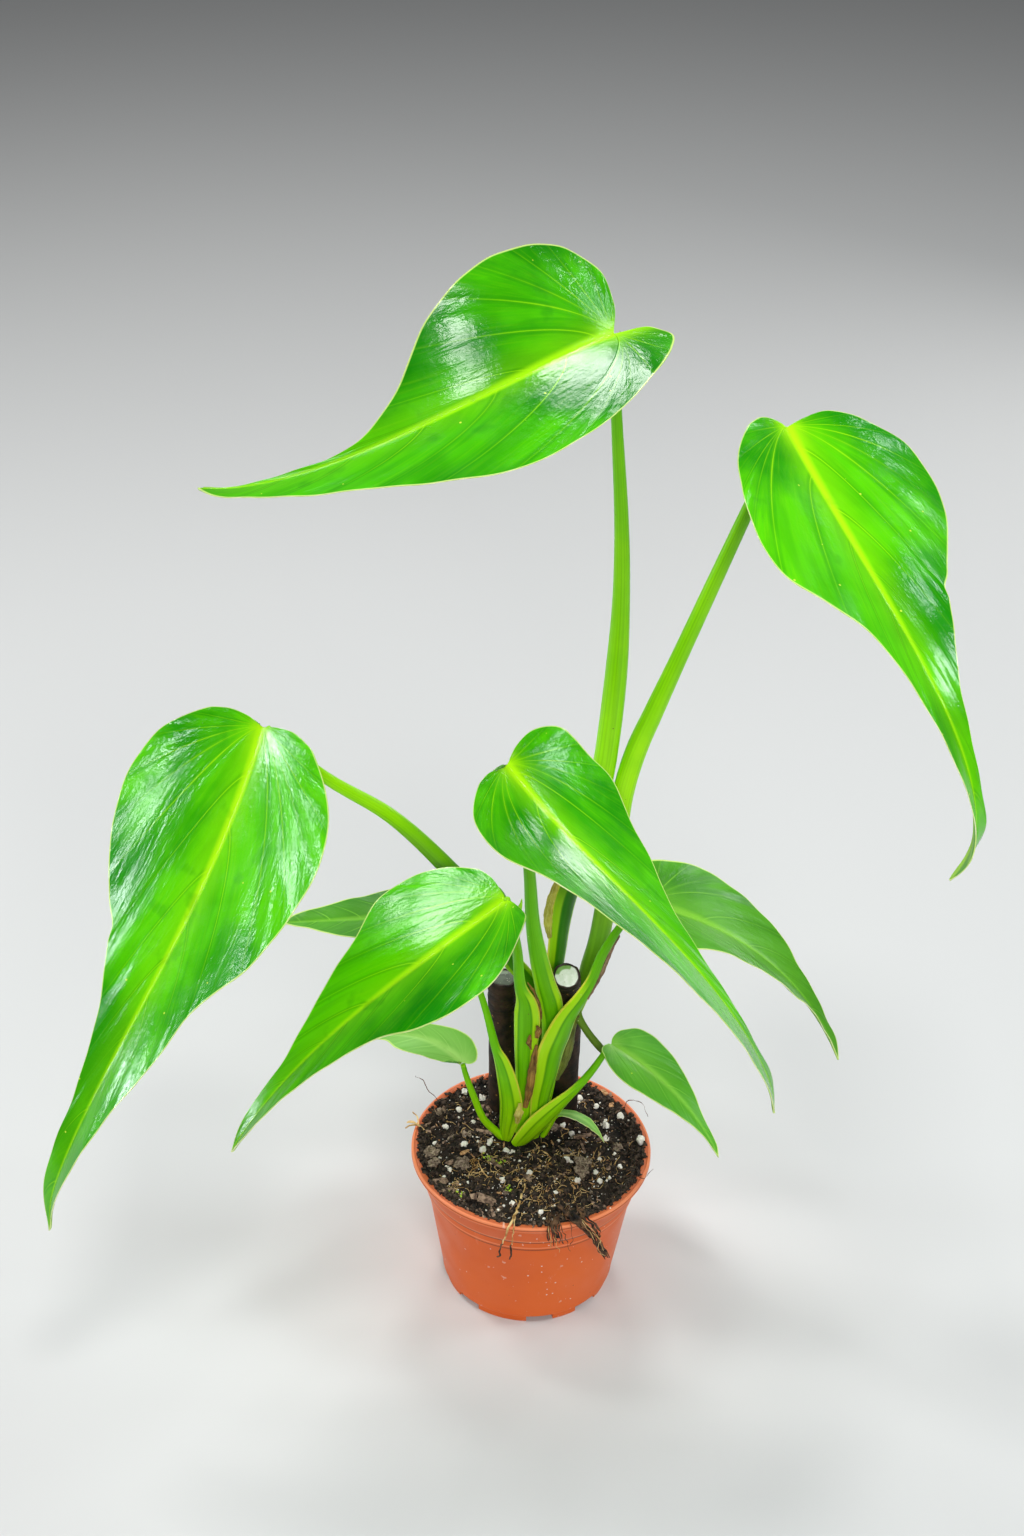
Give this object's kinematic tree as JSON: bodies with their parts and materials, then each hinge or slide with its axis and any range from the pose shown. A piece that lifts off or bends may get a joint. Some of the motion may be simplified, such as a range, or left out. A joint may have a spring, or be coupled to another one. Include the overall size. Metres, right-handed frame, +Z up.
{
  "type": "potted monstera",
  "caption": "Young flame monstera in a terracotta-coloured nursery pot: glossy leaves drawn out to long tips on sheathed stalks, beside cut old stems, in peat and perlite.",
  "frame": {"origin": "middle of the flat disc under the pot, on the floor", "axes": "+Z up, -Y towards the viewer of the picture, +X to the viewer's right"},
  "size_m": [0.4015, 0.1825, 0.541],
  "materials": {
    "terracotta_plastic": "satin",
    "potting_soil": "matte",
    "leaf_gloss": "gloss",
    "leaf_matt": "satin",
    "stalk_green": "satin",
    "old_stem": "matte",
    "dry_sheath": "matte"
  },
  "bodies": {
    "root": {"pot": "terracotta_plastic", "soil": "potting_soil", "crown": "old_stem", "blade_top": "leaf_gloss", "blade_upper_right": "leaf_gloss", "blade_left": "leaf_gloss", "blade_centre": "leaf_gloss", "blade_front_left": "leaf_gloss", "blade_right": "leaf_matt", "blade_low_right": "leaf_matt", "blade_low_left": "leaf_matt", "blade_back_left": "leaf_matt", "blade_tiny": "leaf_matt", "stalk_top": "stalk_green", "stalk_upper_right": "stalk_green", "stalk_left": "stalk_green", "stalk_centre": "stalk_green", "stalk_front_left": "stalk_green", "stalk_right": "stalk_green", "stalk_low_right": "stalk_green", "stalk_low_left": "stalk_green", "stalk_back_left": "stalk_green", "stalk_tiny": "stalk_green", "stub_left": "old_stem", "stub_right": "old_stem", "aerial_root": "stalk_green", "scrap_top": "dry_sheath", "scrap_right": "dry_sheath", "scrap_front": "dry_sheath", "sheath_olive": "dry_sheath"}
  },
  "joints": []
}
